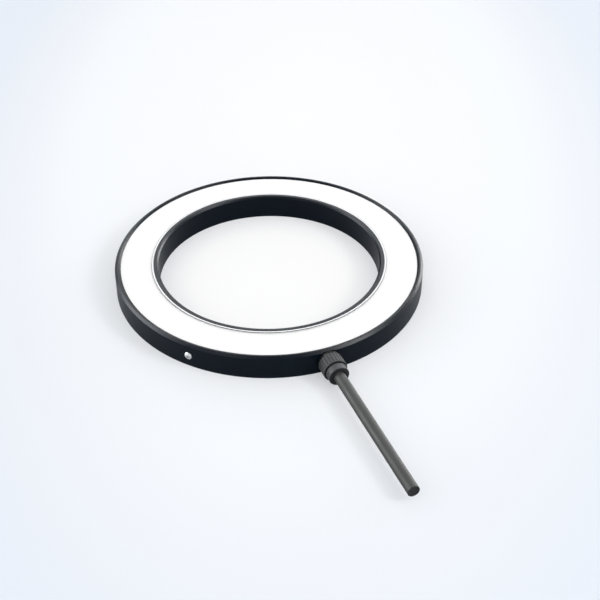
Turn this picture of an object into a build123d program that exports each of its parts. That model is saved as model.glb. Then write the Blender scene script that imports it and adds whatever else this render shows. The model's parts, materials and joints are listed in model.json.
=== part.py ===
from build123d import *
import math
import os

# Flat ring light for machine vision, lit from its rim, with one cable gland and a short cut cable.
# Millimetres. Origin at the centre of the ring's underside, +Z out of the white light face,
# the gland and its cable point along -Y.

# Ring housing
ring_outer_diameter = 120.0
ring_width = 16.9
ring_height = 9.8
outer_wall = 2.2
inner_wall = 1.9
floor_thickness = 2.4
outer_rim_chamfer = 0.9
bore_rim_chamfer = 0.65
rim_slant_width = 0.7
rim_slant_depth = 0.6
base_chamfer = 0.2
ledge_width = 1.0
fit_gap = 0.05
close_gap = 0.02

# Tapped mounting holes in the underside, M3
mount_hole_inset = 8.5
mount_hole_diameter = 2.5
mount_hole_count = 4
mount_hole_first_angle = 45.0
mount_hole_chamfer = 0.25

# Light face
diffuser_thickness = 2.0
diffuser_lip_thickness = 1.0
retainer_width = 0.75
retainer_proud = 0.5

# Light guide and white films
guide_to_diffuser_gap = 0.55
reflector_thickness = 0.25
inner_reflector_thickness = 0.15
guide_inner_gap = 0.15
guide_to_led_gap = 0.25
cable_notch_half_width = 4.0

# LED band
carrier_gap = 0.1
carrier_thickness = 1.65
tape_thickness = 0.1
strip_thickness = 0.2
strip_edge_margin = 0.2
band_gap_angle = 4.6
first_led_angle = 7.5
led_least_spacing = 4.75
led_width = 3.5
led_height = 2.8
led_depth = 0.8
phosphor_diameter = 2.4
phosphor_depth = 0.25
leds_per_resistor = 7
chip_length = 1.6
chip_width = 0.8
chip_depth = 0.45

# Side screws, M1.6 x 3 with pan head and cross recess
side_screw_count = 3
side_screw_from_cable_angle = 50.1
side_screw_height = 4.75
screw_head_diameter = 2.9
screw_head_depth = 1.3
screw_head_proud = 0.7
screw_head_dome = 0.45
screw_shank_diameter = 1.6
screw_length = 3.0
screw_recess_length = 1.5
screw_recess_width = 0.4
screw_recess_depth = 0.6
counterbore_gap = 0.1

# Terminal board in a pocket of the floor
pocket_depth = 1.6
pocket_half_angle = 9.5
pocket_margin = 0.25
pad_thickness = 0.2
board_thickness = 0.8
board_resistor_angles = (-7.0, -5.6, 5.6, 7.0)
board_resistor_inset = 2.6
diode_length = 2.7
diode_width = 1.6
diode_height = 1.1
diode_inset = 0.3
link_diameter = 0.5
link_length = 2.4

# Cable
cable_diameter = 4.4
cable_free_length = 60.0
core_diameter = 1.2
core_half_spacing = 0.65
core_pad_half_spacing = 2.2
core_straight_length = 4.0
core_drop_length = 2.1
core_pad_length = 2.0
core_end_gap = 1.5
core_bend_share = 0.45

# Cable gland; distances run outwards from the ring's outer radius
gland_height = 4.8
spot_face_depth = 0.25
spot_face_diameter = 9.4
stem_wall = 0.75
stem_inset = 0.15
gasket_thickness = 0.5
gasket_width = 1.2
flange_thickness = 0.75
flange_across_flats = 7.8
thread_pitch = 0.75
thread_depth = 0.3
thread_turns = 5
body_length = 5.35
seal_wall = 0.7
seal_start = 2.3
seal_proud = 0.8
body_wall = 0.75
cable_gap = 0.05
seal_gap = 0.02
clamp_ring_thickness = 0.5
clamp_ring_gap = 0.1
running_gap = 0.05
nut_wall = 0.85
nut_start = 1.1
nut_thread_relief = 0.2
ribbed_length = 5.05
rib_count = 24
rib_groove_radius = 0.26
rib_end_round = 0.3
neck_groove_length = 0.3
neck_groove_depth = 0.3
nose_length = 3.0
nose_wall = 0.77
nose_round = 0.3
nose_bore_gap = 0.15

# Places that follow from the sizes above
outer_radius = ring_outer_diameter / 2
bore_radius = outer_radius - ring_width
channel_outer = outer_radius - outer_wall
channel_inner = bore_radius + inner_wall
ledge_radius = channel_inner + ledge_width
diffuser_top = ring_height - rim_slant_depth
diffuser_bottom = diffuser_top - diffuser_thickness
retainer_top = diffuser_top + retainer_proud
retainer_inner = channel_inner + fit_gap
retainer_outer = retainer_inner + retainer_width
lip_top = diffuser_bottom + diffuser_lip_thickness

carrier_outer = channel_outer - carrier_gap
carrier_inner = carrier_outer - carrier_thickness
tape_outer = carrier_inner - close_gap
tape_inner = tape_outer - tape_thickness
strip_outer = tape_inner - close_gap
strip_inner = strip_outer - strip_thickness
strip_bottom = floor_thickness + strip_edge_margin
strip_top = diffuser_bottom - strip_edge_margin
led_middle = (floor_thickness + diffuser_bottom) / 2
led_back = math.sqrt(strip_inner**2 - (led_width / 2) ** 2) - close_gap
led_front = led_back - led_depth
guide_outer = led_front - guide_to_led_gap
guide_inner = ledge_radius + inner_reflector_thickness + guide_inner_gap
guide_bottom = floor_thickness + reflector_thickness
guide_top = diffuser_bottom - guide_to_diffuser_gap

cable_radius = cable_diameter / 2
cable_angle = -90.0
stem_bore = cable_radius + cable_gap
stem_radius = stem_bore + stem_wall
seal_bore = cable_radius + seal_gap
seal_radius = seal_bore + seal_wall
body_socket = seal_radius + seal_gap
body_radius = body_socket + body_wall
nut_bore = body_radius + running_gap
rib_radius = nut_bore + nut_wall
clamp_ring_bore = cable_radius + clamp_ring_gap
clamp_ring_radius = seal_radius + clamp_ring_gap + running_gap
nut_cavity = clamp_ring_radius + running_gap
nose_radius = nut_cavity + nose_wall
nose_bore = cable_radius + nose_bore_gap
neck_radius = nose_radius - neck_groove_depth

spot_face_at = outer_radius - spot_face_depth
stem_end_at = channel_outer + stem_inset
flange_at = spot_face_at + gasket_thickness
body_thread_at = flange_at + flange_thickness
body_end_at = body_thread_at + body_length - flange_thickness
seal_at = outer_radius + seal_start
seal_end_at = body_end_at + seal_proud
clamp_ring_at = seal_end_at + running_gap
clamp_ring_end_at = clamp_ring_at + clamp_ring_thickness
nut_at = outer_radius + nut_start
rib_end_at = nut_at + ribbed_length
nose_at = rib_end_at + neck_groove_length
nose_end_at = nose_at + nose_length
nut_cavity_at = body_end_at + nut_thread_relief
nut_shoulder_at = clamp_ring_end_at + running_gap
cable_end_at = nose_end_at + cable_free_length

screw_top_at = outer_radius + screw_head_proud
screw_seat_at = screw_top_at - screw_head_depth
screw_tip_at = screw_seat_at - screw_length
head_radius = screw_head_diameter / 2
shank_radius = screw_shank_diameter / 2
dome_radius = (head_radius**2 + screw_head_dome**2) / (2 * screw_head_dome)

core_bend_at = stem_end_at - core_straight_length
core_down_at = core_bend_at - core_drop_length
core_tip_at = core_down_at - core_pad_length
notch_radius = core_tip_at - core_end_gap
pocket_inner = notch_radius - pocket_margin
pocket_outer = carrier_inner - fit_gap
board_inner = pocket_inner + pocket_margin
board_outer = pocket_outer - pocket_margin
board_half_angle = pocket_half_angle - math.degrees(pocket_margin / board_outer)
pad_bottom = floor_thickness - pocket_depth
board_bottom = pad_bottom + pad_thickness
board_top = board_bottom + board_thickness

# Distances along the gland's axis, which is level and points along -Y
gland_axis = Plane(origin=(0, 0, gland_height), x_dir=(1, 0, 0), z_dir=(0, -1, 0))


def turned(points, start_angle=0.0, arc=360.0):
    """Solid of revolution about Z from a closed outline of (radius, height) points."""
    outline = Plane.XZ * make_face(Polyline(*points, close=True))
    return Rot(0, 0, start_angle) * revolve(outline, Axis.Z, arc)


def band(inner, outer, bottom, top, half_gap=0.0):
    """Flat-sided ring, open by half_gap degrees each side of the cable where that isn't zero."""
    outline = [(inner, bottom), (outer, bottom), (outer, top), (inner, top)]
    return turned(outline, cable_angle + half_gap, 360.0 - 2 * half_gap)


def sector(inner, outer, bottom, top, half_angle):
    """Piece of a flat ring that reaches half_angle degrees each side of the cable."""
    outline = [(inner, bottom), (outer, bottom), (outer, top), (inner, top)]
    return turned(outline, cable_angle - half_angle, 2 * half_angle)


def facing_out(angle, height):
    """Place at the ring's axis whose Z runs outwards at this angle and whose Y runs up."""
    turn = math.radians(angle)
    outwards = (math.cos(turn), math.sin(turn), 0)
    return Plane(origin=(0, 0, height), x_dir=(-math.sin(turn), math.cos(turn), 0), z_dir=outwards)


def rod(radius, start, end):
    """Round bar along Z from start to end."""
    return Pos(0, 0, start) * Cylinder(radius, end - start, align=(Align.CENTER, Align.CENTER, Align.MIN))


def block(width, height, start, end):
    """Bar of rectangular section along Z from start to end."""
    place = Pos(0, 0, start)
    return place * Box(width, height, end - start, align=(Align.CENTER, Align.CENTER, Align.MIN))


def cable_notch(bottom, top):
    """Slot that leaves room for the cable's cores in the ring-shaped films and plates."""
    reach = outer_radius - notch_radius
    middle = -(notch_radius + reach / 2)
    return Pos(0, middle, (bottom + top) / 2) * Box(2 * cable_notch_half_width, reach, top - bottom)


def side_screw_angles():
    spacing = 360.0 / side_screw_count
    return [cable_angle - side_screw_from_cable_angle + k * spacing for k in range(side_screw_count)]


def led_angles():
    """Angles of the light sources, evenly placed from one end of the open band to the other."""
    span = 360.0 - 2 * first_led_angle
    gaps = int(math.radians(span) * led_front / led_least_spacing)
    return [cable_angle + first_led_angle + k * span / gaps for k in range(gaps + 1)]


def make_housing():
    """Black channel ring: outer wall, floor and bore wall in one, open towards the light face."""
    outline = [
        (bore_radius + base_chamfer, 0),
        (outer_radius - base_chamfer, 0),
        (outer_radius, base_chamfer),
        (outer_radius, ring_height - outer_rim_chamfer),
        (outer_radius - outer_rim_chamfer, ring_height),
        (channel_outer + rim_slant_width, ring_height),
        (channel_outer, diffuser_top),
        (channel_outer, floor_thickness),
        (ledge_radius, floor_thickness),
        (ledge_radius, diffuser_bottom),
        (channel_inner, diffuser_bottom),
        (channel_inner, ring_height),
        (bore_radius + bore_rim_chamfer, ring_height),
        (bore_radius, ring_height - bore_rim_chamfer),
        (bore_radius, base_chamfer),
    ]
    housing = turned(outline)
    housing -= sector(pocket_inner, pocket_outer, pad_bottom, ring_height, pocket_half_angle) & band(
        ledge_radius, channel_outer, pad_bottom, diffuser_bottom
    )
    housing -= gland_axis * rod(stem_radius + close_gap, pocket_outer, outer_radius + outer_wall)
    housing -= gland_axis * rod(spot_face_diameter / 2, spot_face_at, outer_radius + outer_wall)
    for angle in side_screw_angles():
        place = facing_out(angle, side_screw_height)
        counterbore = rod(head_radius + counterbore_gap, screw_seat_at, outer_radius + outer_wall)
        clearance = rod(shank_radius + counterbore_gap, carrier_inner, outer_radius)
        housing -= place * (counterbore + clearance)
    hole_radius = mount_hole_diameter / 2
    hole = rod(hole_radius, -floor_thickness, 2 * floor_thickness)
    mouth = Cone(hole_radius + 2 * mount_hole_chamfer, hole_radius, 2 * mount_hole_chamfer)
    for k in range(mount_hole_count):
        angle = mount_hole_first_angle + k * 360.0 / mount_hole_count
        housing -= Rot(0, 0, angle) * Pos(outer_radius - mount_hole_inset, 0, 0) * (hole + mouth)
    return housing


def make_led_carrier():
    """Metal band that stands in the channel, carries the LED strip and supports the diffuser."""
    carrier = band(carrier_inner, carrier_outer, floor_thickness, diffuser_bottom, band_gap_angle)
    for angle in side_screw_angles():
        tapped = rod(shank_radius + close_gap, carrier_inner - fit_gap, outer_radius)
        carrier -= facing_out(angle, side_screw_height) * tapped
    return carrier


def make_thermal_tape():
    return band(tape_inner, tape_outer, strip_bottom, strip_top, band_gap_angle)


def make_led_strip():
    return band(strip_inner, strip_outer, strip_bottom, strip_top, band_gap_angle)


def make_leds():
    """White packages, each with a round well for its phosphor, facing the ring's axis."""
    package = block(led_width, led_height, led_front, led_back)
    package -= rod(phosphor_diameter / 2, led_front - phosphor_depth, led_front + phosphor_depth)
    return [facing_out(angle, led_middle) * package for angle in led_angles()]


def make_led_phosphors():
    disc = rod(phosphor_diameter / 2 - close_gap, led_front, led_front + phosphor_depth)
    return [facing_out(angle, led_middle) * disc for angle in led_angles()]


def make_strip_resistors():
    """One chip resistor for each series group, upright between two packages."""
    chip = block(chip_width, chip_length, led_back - chip_depth, led_back)
    angles = led_angles()
    firsts = range(leds_per_resistor // 2, len(angles) - 1, leds_per_resistor)
    return [facing_out((angles[k] + angles[k + 1]) / 2, led_middle) * chip for k in firsts]


def make_light_guide():
    """Clear plate that carries the light in from its outer edge and up to the diffuser."""
    return band(guide_inner, guide_outer, guide_bottom, guide_top) - cable_notch(0, ring_height)


def make_reflector_sheet():
    sheet = band(ledge_radius + fit_gap, guide_outer, floor_thickness, guide_bottom)
    return sheet - cable_notch(0, ring_height)


def make_inner_reflector():
    """White film round the bore wall, which stands on the reflector sheet."""
    inner = ledge_radius + fit_gap
    return band(inner, inner + inner_reflector_thickness, guide_bottom, diffuser_bottom - fit_gap)


def make_diffuser():
    """Opal plate that rests on the carrier and on the bore wall's ledge, thinner at its inner lip."""
    step = retainer_outer + fit_gap
    outline = [
        (retainer_inner, diffuser_bottom),
        (channel_outer - fit_gap, diffuser_bottom),
        (channel_outer - fit_gap, diffuser_top),
        (step, diffuser_top),
        (step, lip_top),
        (retainer_inner, lip_top),
    ]
    return turned(outline)


def make_diffuser_retainer():
    """Slim ring pressed round the bore wall, which holds the diffuser's inner lip down."""
    return band(retainer_inner, retainer_outer, lip_top, retainer_top)


def make_side_screws():
    """Pan-head screws that hold the LED carrier from outside, heads half sunk in the wall."""
    dome = Pos(0, 0, screw_top_at - dome_radius) * Sphere(dome_radius)
    head = rod(head_radius, screw_seat_at, screw_top_at) & dome
    bottom = screw_top_at - screw_recess_depth
    slot = block(screw_recess_length, screw_recess_width, bottom, screw_top_at + screw_recess_depth)
    screw = head + rod(shank_radius, screw_tip_at, screw_seat_at) - slot - Rot(0, 0, 90) * slot
    return [facing_out(angle, side_screw_height) * Rot(0, 0, 45) * screw for angle in side_screw_angles()]


def make_insulating_pad():
    return sector(board_inner, board_outer, pad_bottom, board_bottom, board_half_angle)


def make_terminal_board():
    return sector(board_inner, board_outer, board_bottom, board_top, board_half_angle)


def make_board_resistors():
    """Chip resistors flat on the board, under the reflector sheet."""
    radius = board_inner + board_resistor_inset
    chip = Pos(radius, 0, board_top + chip_depth / 2) * Box(chip_length, chip_width, chip_depth)
    return [Rot(0, 0, cable_angle + angle) * chip for angle in board_resistor_angles]


def make_protection_diode():
    """Guards against a reversed supply; it lies between the two cores."""
    middle = -(board_inner + diode_inset + diode_length / 2)
    body = Box(diode_width, diode_length, diode_height)
    return Pos(0, middle, board_top + diode_height / 2) * body


def make_strip_links():
    """Short pins from the board up to the two ends of the LED strip."""
    radius = strip_inner - link_diameter / 2 - fit_gap
    offset = band_gap_angle + math.degrees((link_diameter / 2 + fit_gap) / radius)
    pin = Pos(radius, 0, 0) * rod(link_diameter / 2, board_top, board_top + link_length)
    return [Rot(0, 0, cable_angle + side * offset) * pin for side in (-1, 1)]


def make_core(side, name):
    """One insulated core, from the cut end of the sheath down to its pad on the board."""
    lying = board_top + core_diameter / 2 + close_gap
    points = [
        (side * core_half_spacing, -stem_end_at, gland_height),
        (side * core_half_spacing, -core_bend_at, gland_height),
        (side * core_pad_half_spacing, -core_down_at, lying),
        (side * core_pad_half_spacing, -core_tip_at, lying),
    ]
    runs = [Vector(*b) - Vector(*a) for a, b in zip(points, points[1:])]
    radii = []
    for before, after in zip(runs, runs[1:]):
        shorter = min(before.length, after.length)
        radii.append(core_bend_share * shorter / math.tan(math.radians(before.get_angle(after)) / 2))
    path = FilletPolyline(*points, radius=radii)
    section = Plane(origin=points[0], z_dir=runs[0]) * Circle(core_diameter / 2)
    core = sweep(section, path)
    print(name, "radii", [round(r, 2) for r in radii], "length", round(path.length, 2))
    return core


def make_gland_gasket():
    """Rubber washer between the flange and the flat on the housing's wall."""
    inner = stem_radius + seal_gap
    ring = rod(inner + gasket_width, spot_face_at, flange_at) - rod(inner, spot_face_at, flange_at)
    return gland_axis * ring


def make_gland_body():
    """Screwed into the housing's wall; its outer end has the nut's thread and the seal's socket."""
    outline = [
        (stem_bore, stem_end_at),
        (stem_radius, stem_end_at),
        (stem_radius, body_thread_at),
        (body_radius, body_thread_at),
    ]
    thread_length = thread_turns * thread_pitch
    first = body_end_at - (body_end_at - body_thread_at - thread_length) / 2 - thread_length
    for k in range(thread_turns):
        crest = first + k * thread_pitch
        outline += [(body_radius, crest), (body_radius - thread_depth, crest + thread_pitch / 2)]
    outline += [
        (body_radius, first + thread_length),
        (body_radius, body_end_at),
        (body_socket, body_end_at),
        (body_socket, seal_at),
        (stem_bore, seal_at),
    ]
    flange = extrude(RegularPolygon(flange_across_flats / 2, 6, major_radius=False), flange_thickness)
    flange -= rod(stem_bore + stem_wall / 2, -flange_thickness, 2 * flange_thickness)
    return gland_axis * (turned(outline) + Pos(0, 0, flange_at) * flange)


def make_gland_seal():
    """Rubber sleeve round the sheath, squeezed by the clamp ring."""
    return gland_axis * (rod(seal_radius, seal_at, seal_end_at) - rod(seal_bore, seal_at, seal_end_at))


def make_clamp_ring():
    """Slip ring that the nut pushes in and that keeps the turning nut off the rubber."""
    ring = rod(clamp_ring_radius, clamp_ring_at, clamp_ring_end_at)
    return gland_axis * (ring - rod(clamp_ring_bore, clamp_ring_at, clamp_ring_end_at))


def make_gland_nut():
    """Hand-turned nut: ribbed grip against the ring, undercut, then a plain nose round the cable."""
    grip = fillet(rod(rib_radius, nut_at, rib_end_at).edges().sort_by(Axis.Z)[-1], rib_end_round)
    for k in range(rib_count):
        groove = Pos(rib_radius, 0, 0) * rod(rib_groove_radius, nut_at - fit_gap, nose_at)
        grip -= Rot(0, 0, (k + 0.5) * 360.0 / rib_count) * groove
    nose = fillet(rod(nose_radius, nose_at, nose_end_at).edges().sort_by(Axis.Z)[-1], nose_round)
    nut = grip + nose + rod(neck_radius, rib_end_at - rib_end_round, nose_at + fit_gap)
    nut -= rod(nut_bore, nut_at - fit_gap, nut_cavity_at)
    nut -= rod(nut_cavity, nut_at, nut_shoulder_at)
    nut -= rod(nose_bore, nut_at, nose_end_at + fit_gap)
    return gland_axis * nut


def make_cable_inner():
    """Sheathed cable inside the gland, cut back where its cores leave it."""
    return gland_axis * rod(cable_radius, stem_end_at, nose_end_at)


def make_cable_free():
    """Sheathed cable outside the gland: level, straight and cut square at its end."""
    return gland_axis * rod(cable_radius, nose_end_at, cable_end_at)


pieces = {
    "housing": make_housing(),
    "led_carrier": make_led_carrier(),
    "thermal_tape": make_thermal_tape(),
    "led_strip": make_led_strip(),
    "leds": make_leds(),
    "led_phosphors": make_led_phosphors(),
    "strip_resistors": make_strip_resistors(),
    "light_guide": make_light_guide(),
    "reflector_sheet": make_reflector_sheet(),
    "inner_reflector": make_inner_reflector(),
    "diffuser": make_diffuser(),
    "diffuser_retainer": make_diffuser_retainer(),
    "side_screws": make_side_screws(),
    "insulating_pad": make_insulating_pad(),
    "terminal_board": make_terminal_board(),
    "board_resistors": make_board_resistors(),
    "protection_diode": make_protection_diode(),
    "strip_links": make_strip_links(),
    "core_positive": make_core(1, "core_positive"),
    "core_negative": make_core(-1, "core_negative"),
    "gland_gasket": make_gland_gasket(),
    "gland_body": make_gland_body(),
    "gland_seal": make_gland_seal(),
    "clamp_ring": make_clamp_ring(),
    "gland_nut": make_gland_nut(),
    "cable_inner": make_cable_inner(),
    "cable_free": make_cable_free(),
}

os.makedirs("parts", exist_ok=True)
for name, shape in pieces.items():
    solids = shape if isinstance(shape, list) else [shape]
    export_step(Compound(children=[s for item in solids for s in item.solids()]), f"parts/{name}.step")

print("cable: one straight run of", cable_free_length, "mm, no bends")
print("nut travel per turn", thread_pitch, "mm")
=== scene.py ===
import json
import math

import bmesh
import bpy
from mathutils import Matrix, Vector


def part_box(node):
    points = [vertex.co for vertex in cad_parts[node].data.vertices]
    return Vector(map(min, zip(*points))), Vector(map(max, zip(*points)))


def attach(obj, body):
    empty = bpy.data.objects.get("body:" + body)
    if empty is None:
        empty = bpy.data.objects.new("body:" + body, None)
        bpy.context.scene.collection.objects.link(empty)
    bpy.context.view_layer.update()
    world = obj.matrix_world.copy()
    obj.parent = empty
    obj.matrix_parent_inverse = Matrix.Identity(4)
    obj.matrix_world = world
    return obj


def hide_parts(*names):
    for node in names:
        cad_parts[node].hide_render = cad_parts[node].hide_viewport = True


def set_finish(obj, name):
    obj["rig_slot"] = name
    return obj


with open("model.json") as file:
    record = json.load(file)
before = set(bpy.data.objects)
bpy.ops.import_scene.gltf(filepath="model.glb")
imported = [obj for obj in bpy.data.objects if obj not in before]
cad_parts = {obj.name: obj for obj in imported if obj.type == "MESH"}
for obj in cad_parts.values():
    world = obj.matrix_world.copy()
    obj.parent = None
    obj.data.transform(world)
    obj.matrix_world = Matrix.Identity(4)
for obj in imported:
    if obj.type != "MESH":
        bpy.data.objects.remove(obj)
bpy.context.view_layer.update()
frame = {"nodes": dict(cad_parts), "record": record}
mm = 0.001
mounts = {mount["name"]: mount for mount in frame["record"]["mounts"]}
print("frame loaded,", len(frame["nodes"]), "nodes")

# The photograph's view: 37 degrees above the ring, 20 degrees to the left of the cable
photoView = {
    "place": (-0.142921, -0.385745, 0.310091),
    "target": (0.005860, -0.017649, 0.0),
    "lens": 78.155,
    "sensor": 36.0,
    "nearest": 0.01,
}


def makeCamera():
    data = bpy.data.cameras.new("photoCamera")
    data.lens = photoView["lens"]
    data.sensor_width = photoView["sensor"]
    data.clip_start = photoView["nearest"]
    camera = bpy.data.objects.new("photoCamera", data)
    camera.location = photoView["place"]
    look = Vector(photoView["target"]) - camera.location
    camera.rotation_euler = look.to_track_quat("-Z", "Y").to_euler()
    bpy.context.scene.collection.objects.link(camera)
    bpy.context.scene.camera = camera


# A node's lowest and highest corner in millimetres
def boxOf(node):
    low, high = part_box(node)
    return low / mm, high / mm


def installPiece(piece, body, slot, *nodes):
    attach(piece, body)
    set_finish(piece, slot)
    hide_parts(*nodes)
    return piece


# Forms are drawn in millimetres as bmeshes; makePiece brings them to metres
samePoint = 1e-6  # points closer than this are one
overrun = 1.0  # how far a cutting form reaches past the surface it cuts

# Thread form: how near the crest a point has to lie to be cut, the groove's depth at its
# middle (capped at one) and its fall per half pitch, and how far past its end points begin
threads = {
    "crestReach": 0.01,
    "grooveMiddle": 1.3,
    "grooveFall": 2.0,
    "lead": 0.02,
}


# Angles round a turned form, each with the largest radius allowed there
def evenColumns(count):
    return [(2 * math.pi * k / count, math.inf) for k in range(count)]


# Rounds the corners of a closed outline, given as (radius, height, rounding)
def softCorners(corners, steps=4):
    outline = []
    for k, (x, y, rounding) in enumerate(corners):
        if rounding == 0:
            outline.append((x, y))
            continue
        here = Vector((x, y))
        before = (Vector(corners[k - 1][:2]) - here).normalized()
        after = (Vector(corners[(k + 1) % len(corners)][:2]) - here).normalized()
        half = before.angle(after) / 2
        centre = here + (before + after).normalized() * rounding / math.sin(half)
        first = here + before * rounding / math.tan(half) - centre
        last = here + after * rounding / math.tan(half) - centre
        for step in range(steps + 1):
            turned = first.slerp(last, step / steps).normalized()
            outline.append(tuple(centre + turned * rounding))
    return outline


# Turns a closed outline round Z; shape may change a radius by its height and angle
def lathe(outline, columns, shape=None):
    form = bmesh.new()
    rings = []
    for angle, limit in columns:
        ring = []
        for radius, height in outline:
            if shape:
                radius = shape(radius, height, angle)
            radius = min(radius, limit)
            ring.append(form.verts.new((radius * math.cos(angle), radius * math.sin(angle), height)))
        rings.append(ring)
    for k, ring in enumerate(rings):
        nextRing = rings[(k + 1) % len(rings)]
        for i in range(len(outline)):
            j = (i + 1) % len(outline)
            if outline[i][0] > 0 or outline[j][0] > 0:
                form.faces.new((ring[i], nextRing[i], nextRing[j], ring[j]))
    bmesh.ops.remove_doubles(form, verts=form.verts, dist=samePoint)
    bmesh.ops.recalc_face_normals(form, faces=form.faces)
    return form


# A round bar along Z
def rod(radius, start, end, count=64):
    return lathe([(0, start), (radius, start), (radius, end), (0, end)], evenColumns(count))


# Groove of a right-hand thread, cut into whatever stands at the crest's radius
def threadShape(crest, pitch, depth, start, end):
    def shape(radius, height, angle):
        if abs(radius - crest) > threads["crestReach"] or not start < height < end:
            return radius
        turn = (height / pitch - angle / (2 * math.pi)) % 1
        groove = threads["grooveMiddle"] - abs(2 * turn - 1) * threads["grooveFall"]
        fade = min(1, (height - start) / pitch, (end - height) / pitch)
        return radius - depth * min(1, max(0, groove)) * fade

    return shape


# Points up or down a threaded stretch, close enough together to carry the thread
def threadLine(radius, start, end, pitch, perPitch=12):
    count = round(abs(end - start) / pitch * perPitch)
    return [(radius, start + (end - start) * k / count) for k in range(count + 1)]


def smoothSurface(piece, sharpAngle):
    piece.data.shade_smooth()
    form = bmesh.new()
    form.from_mesh(piece.data)
    for edge in form.edges:
        edge.smooth = edge.calc_face_angle(math.pi) < math.radians(sharpAngle)
    form.to_mesh(piece.data)
    form.free()
    weighted = piece.modifiers.new("weightedNormals", "WEIGHTED_NORMAL")
    weighted.keep_sharp = True


def makePiece(name, forms, place=Matrix.Identity(4), sharpAngle=32):
    mesh = bpy.data.meshes.new(name)
    whole = bmesh.new()
    for form in forms:
        form.to_mesh(mesh)
        whole.from_mesh(mesh)
        form.free()
    whole.transform(Matrix.Scale(mm, 4))
    whole.to_mesh(mesh)
    whole.free()
    piece = bpy.data.objects.new(name, mesh)
    piece.matrix_world = place
    bpy.context.scene.collection.objects.link(piece)
    smoothSurface(piece, sharpAngle)
    return piece


# Takes the cutting forms away from a piece; they are drawn in the piece's own axes
def cutAway(piece, forms, sharpAngle=32):
    cutter = makePiece("cutter", forms, piece.matrix_world)
    piece.modifiers.clear()
    cut = piece.modifiers.new("cut", "BOOLEAN")
    cut.operation = "DIFFERENCE"
    cut.solver = "EXACT"
    cut.object = cutter
    shaped = piece.evaluated_get(bpy.context.evaluated_depsgraph_get())
    piece.data = bpy.data.meshes.new_from_object(shaped)
    piece.modifiers.clear()
    bpy.data.objects.remove(cutter)
    smoothSurface(piece, sharpAngle)


# Axes whose Z runs outwards from the ring's axis at this angle and height, with Y up
def facingOut(degrees, height):
    turn = math.radians(degrees)
    outwards = Vector((math.cos(turn), math.sin(turn), 0))
    up = Vector((0, 0, 1))
    axes = Matrix((up.cross(outwards), up, outwards)).transposed().to_4x4()
    return Matrix.Translation((0, 0, height)) @ axes


cableAngle = -90.0
cableLow, cableHigh = boxOf("cable_free")
glandHeight = (cableLow.z + cableHigh.z) / 2
glandAxes = facingOut(cableAngle, glandHeight * mm)

makeCamera()
print("camera made")

# Cable, cut off square: the sheath is a curve, and its cut face is a piece of its own
cable = {
    "radius": (cableHigh.x - cableLow.x) / 2,
    "start": -cableHigh.y,
    "end": -cableLow.y,
    "points": 4,
    "pointSpacing": 15.0,
    "roundness": 14,
    "steps": 12,
    "columns": 60,
    "endPiece": 0.14,
    "sheathWall": 0.6,
    "edgeRound": 0.07,
    "fillerDepth": 0.08,
    "rootDepth": 0.12,
    "coreRadius": 0.6,
    "coreSpacing": 0.65,
    "coreDepth": 0.03,
    "coreColumns": 32,
    "strandRadius": 0.13,
    "strandPitch": 0.28,
    "strandsRound": 6,
    "strandDepth": 0.005,
    "strandStep": 0.0075,
    "strandColumns": 12,
}


def makeCableSheath():
    line = bpy.data.curves.new("cableSheath", "CURVE")
    line.dimensions = "3D"
    line.bevel_depth = 1  # times each point's radius, which also sets the curve's box
    line.bevel_resolution = cable["roundness"]
    line.resolution_u = cable["steps"]
    start, end = cable["start"], cable["end"] - cable["endPiece"]
    route = [start + cable["pointSpacing"] * k for k in range(cable["points"])] + [end]
    spline = line.splines.new("NURBS")
    spline.points.add(len(route) - 1)
    for point, distance in zip(spline.points, route):
        point.co = (0, -distance * mm, glandHeight * mm, 1)
        point.radius = cable["radius"] * mm
    spline.order_u = 3
    spline.use_endpoint_u = True
    sheath = bpy.data.objects.new("cableSheath", line)
    bpy.context.scene.collection.objects.link(sheath)
    return installPiece(sheath, "ring_light", "cable_sheath", "cable_free")


# The cut face: sheath wall, filler a little behind it, two cores and their uneven strands
def makeCableEnd():
    end, radius, edge = cable["end"], cable["radius"], cable["edgeRound"]
    root = end - cable["rootDepth"]
    inner = radius - cable["sheathWall"]
    face = softCorners([
        (radius, end - cable["endPiece"], 0),
        (radius, end, edge),
        (inner, end, edge),
        (inner, end - cable["fillerDepth"], 0),
    ])
    middle = [(0, end - cable["fillerDepth"]), (0, end - cable["endPiece"])]
    forms = [lathe(face + middle, evenColumns(cable["columns"]))]
    for side in (-1, 1):
        aside = side * cable["coreSpacing"]
        core = rod(cable["coreRadius"], root, end - cable["coreDepth"], cable["coreColumns"])
        core.transform(Matrix.Translation((aside, 0, 0)))
        forms.append(core)
        for k in range(cable["strandsRound"] + 1):
            reach = cable["strandPitch"] if k else 0
            turn = 2 * math.pi * k / cable["strandsRound"]
            tip = end - cable["strandDepth"] - cable["strandStep"] * (k % 3)
            strand = rod(cable["strandRadius"], root, tip, cable["strandColumns"])
            place = (aside + reach * math.cos(turn), reach * math.sin(turn), 0)
            strand.transform(Matrix.Translation(place))
            forms.append(strand)
    piece = makePiece("cableEnd", forms, glandAxes)
    return installPiece(piece, "ring_light", "cable_sheath")


cableSheath = makeCableSheath()
cableEnd = makeCableEnd()
print("cable made")

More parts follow.
